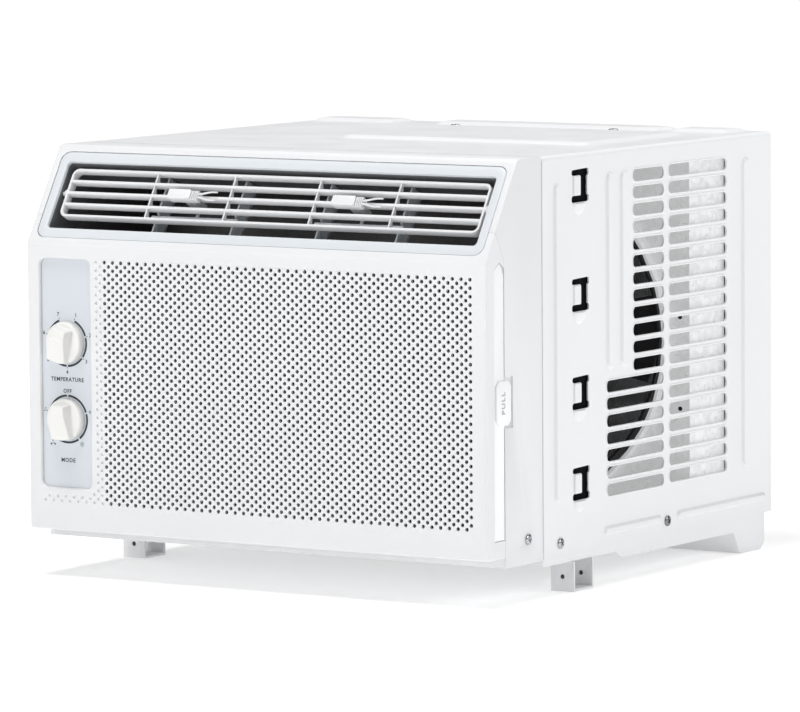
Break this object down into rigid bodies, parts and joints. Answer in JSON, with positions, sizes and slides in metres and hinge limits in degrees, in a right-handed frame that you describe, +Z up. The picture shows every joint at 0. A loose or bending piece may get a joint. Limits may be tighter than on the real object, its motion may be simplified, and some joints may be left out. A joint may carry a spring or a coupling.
{
  "type": "window air conditioner",
  "caption": "Box-shaped room window air conditioner with a perforated front, tilting outlet louvre, two rotary controls, slide-out filter and slotted steel cabinet.",
  "frame": {"origin": "centre of the bounding box's base, level with the soles of the feet", "axes": "+X to the right seen from the front, +Y from the front face to the rear, +Z up"},
  "size_m": [0.4106, 0.434, 0.3264],
  "materials": {
    "white_plastic": "fine satin moulded white",
    "grey_plastic": "satin light grey",
    "control_panel": "smooth pale blue grey with printed marks",
    "knob_plastic": "smooth satin white",
    "filter_plastic": "satin white",
    "filter_net": "fine woven plastic net",
    "switch_plastic": "matte moulded",
    "painted_steel": "satin white powder coat",
    "galvanised_steel": "mottled zinc coating",
    "screw_steel": "bright plated",
    "coil_aluminium": "thin fins",
    "copper": "drawn copper tube",
    "black_plastic": "moulded black",
    "black_enamel": "semi-gloss black enamel",
    "rubber": "matte black",
    "white_foam": "fine expanded foam beads"
  },
  "bodies": {
    "case": {"front_cover": "white_plastic", "front_frame": "white_plastic", "outlet_bezel": "grey_plastic", "control_plate": "control_panel", "mode_switch": "switch_plastic", "cabinet_wrap": "painted_steel", "base_pan": "painted_steel", "front_bracket_left": "painted_steel", "front_bracket_right": "painted_steel", "condenser_shroud": "galvanised_steel", "bulkhead": "galvanised_steel", "motor_mount": "galvanised_steel", "control_box": "galvanised_steel", "run_capacitor": "galvanised_steel", "screw_front_left": "screw_steel", "screw_front_right": "screw_steel", "screw_cabinet_front_left": "screw_steel", "screw_cabinet_front_right": "screw_steel", "screw_cabinet_rear_left": "screw_steel", "screw_cabinet_rear_right": "screw_steel", "screw_top_left": "screw_steel", "screw_top_right": "screw_steel", "evaporator_coil": "coil_aluminium", "condenser_coil": "coil_aluminium", "suction_line": "copper", "discharge_line": "copper", "liquid_line": "copper", "thermostat_bulb": "copper", "thermostat_capillary": "copper", "terminal_cover": "black_plastic", "thermostat": "black_plastic", "compressor": "black_enamel", "accumulator": "black_enamel", "fan_motor": "black_enamel", "compressor_grommet_1": "rubber", "compressor_grommet_2": "rubber", "compressor_grommet_3": "rubber", "cord_gland": "rubber", "blower_scroll": "white_foam", "air_duct": "white_foam"},
    "louver": {"air_louver": "white_plastic"},
    "vane_tab_left": {"vane_tab_left": "white_plastic"},
    "vane_tab_right": {"vane_tab_right": "white_plastic"},
    "vane_link_left": {"vane_link_left": "grey_plastic"},
    "vane_link_right": {"vane_link_right": "grey_plastic"},
    "vane_outer_left": {"vane_outer_left": "grey_plastic"},
    "vane_inner_left": {"vane_inner_left": "grey_plastic"},
    "vane_inner_right": {"vane_inner_right": "grey_plastic"},
    "vane_outer_right": {"vane_outer_right": "grey_plastic"},
    "knob_temperature": {"knob_temperature": "knob_plastic"},
    "knob_mode": {"knob_mode": "knob_plastic"},
    "filter": {"filter_frame": "filter_plastic", "filter_mesh": "filter_net"},
    "fan_set": {"motor_shaft": "screw_steel", "blower_wheel": "black_plastic", "condenser_fan": "black_plastic"}
  },
  "joints": [
    {"name": "louver_tilt", "type": "hinge", "parent": "case", "child": "louver", "pos_m": [0, -0.17377, 0.28732], "axis": [1, 0, 0], "range_deg": [-18, 18]},
    {"name": "filter_slide", "type": "slide", "parent": "case", "child": "filter", "axis": [1, 0, 0], "range_m": [0, 0.335]},
    {"name": "temperature_turn", "type": "hinge", "parent": "case", "child": "knob_temperature", "pos_m": [-0.1693, -0.21, 0.178], "axis": [0, 1, 0], "range_deg": [-210, 108]},
    {"name": "mode_turn", "type": "hinge", "parent": "case", "child": "knob_mode", "pos_m": [-0.1693, -0.21, 0.1202], "axis": [0, 1, 0], "range_deg": [-144, 144]},
    {"name": "fan_spin", "type": "hinge", "parent": "case", "child": "fan_set", "pos_m": [0.046, 0.026, 0.171], "axis": [0, 1, 0], "continuous": true},
    {"name": "vane_tab_left_slide", "type": "slide", "parent": "louver", "child": "vane_tab_left", "axis": [1, 0, 0], "range_m": [-0.006, 0.006]},
    {"name": "vane_link_left_slide", "type": "slide", "parent": "case", "child": "vane_link_left", "axis": [1, 0, 0], "range_m": [-0.006, 0.006]},
    {"name": "vane_tab_right_slide", "type": "slide", "parent": "louver", "child": "vane_tab_right", "axis": [1, 0, 0], "range_m": [-0.006, 0.006]},
    {"name": "vane_link_right_slide", "type": "slide", "parent": "case", "child": "vane_link_right", "axis": [1, 0, 0], "range_m": [-0.006, 0.006]},
    {"name": "vane_outer_left_turn", "type": "hinge", "parent": "case", "child": "vane_outer_left", "pos_m": [-0.108, -0.15585, 0.2716], "axis": [0, 0.5241, 0.8517], "range_deg": [-37, 37]},
    {"name": "vane_inner_left_turn", "type": "hinge", "parent": "case", "child": "vane_inner_left", "pos_m": [-0.038, -0.15585, 0.2716], "axis": [0, 0.5241, 0.8517], "range_deg": [-37, 37]},
    {"name": "vane_inner_right_turn", "type": "hinge", "parent": "case", "child": "vane_inner_right", "pos_m": [0.038, -0.15585, 0.2716], "axis": [0, 0.5241, 0.8517], "range_deg": [-37, 37]},
    {"name": "vane_outer_right_turn", "type": "hinge", "parent": "case", "child": "vane_outer_right", "pos_m": [0.108, -0.15585, 0.2716], "axis": [0, 0.5241, 0.8517], "range_deg": [-37, 37]}
  ],
  "couplings": [
    {"joint": "vane_link_left_slide", "follows": "vane_tab_left_slide", "ratio": 1},
    {"joint": "vane_link_right_slide", "follows": "vane_tab_right_slide", "ratio": 1},
    {"joint": "vane_outer_left_turn", "follows": "vane_tab_left_slide", "rad_per_m": 107},
    {"joint": "vane_inner_left_turn", "follows": "vane_tab_left_slide", "rad_per_m": 107},
    {"joint": "vane_inner_right_turn", "follows": "vane_tab_right_slide", "rad_per_m": 107},
    {"joint": "vane_outer_right_turn", "follows": "vane_tab_right_slide", "rad_per_m": 107}
  ]
}
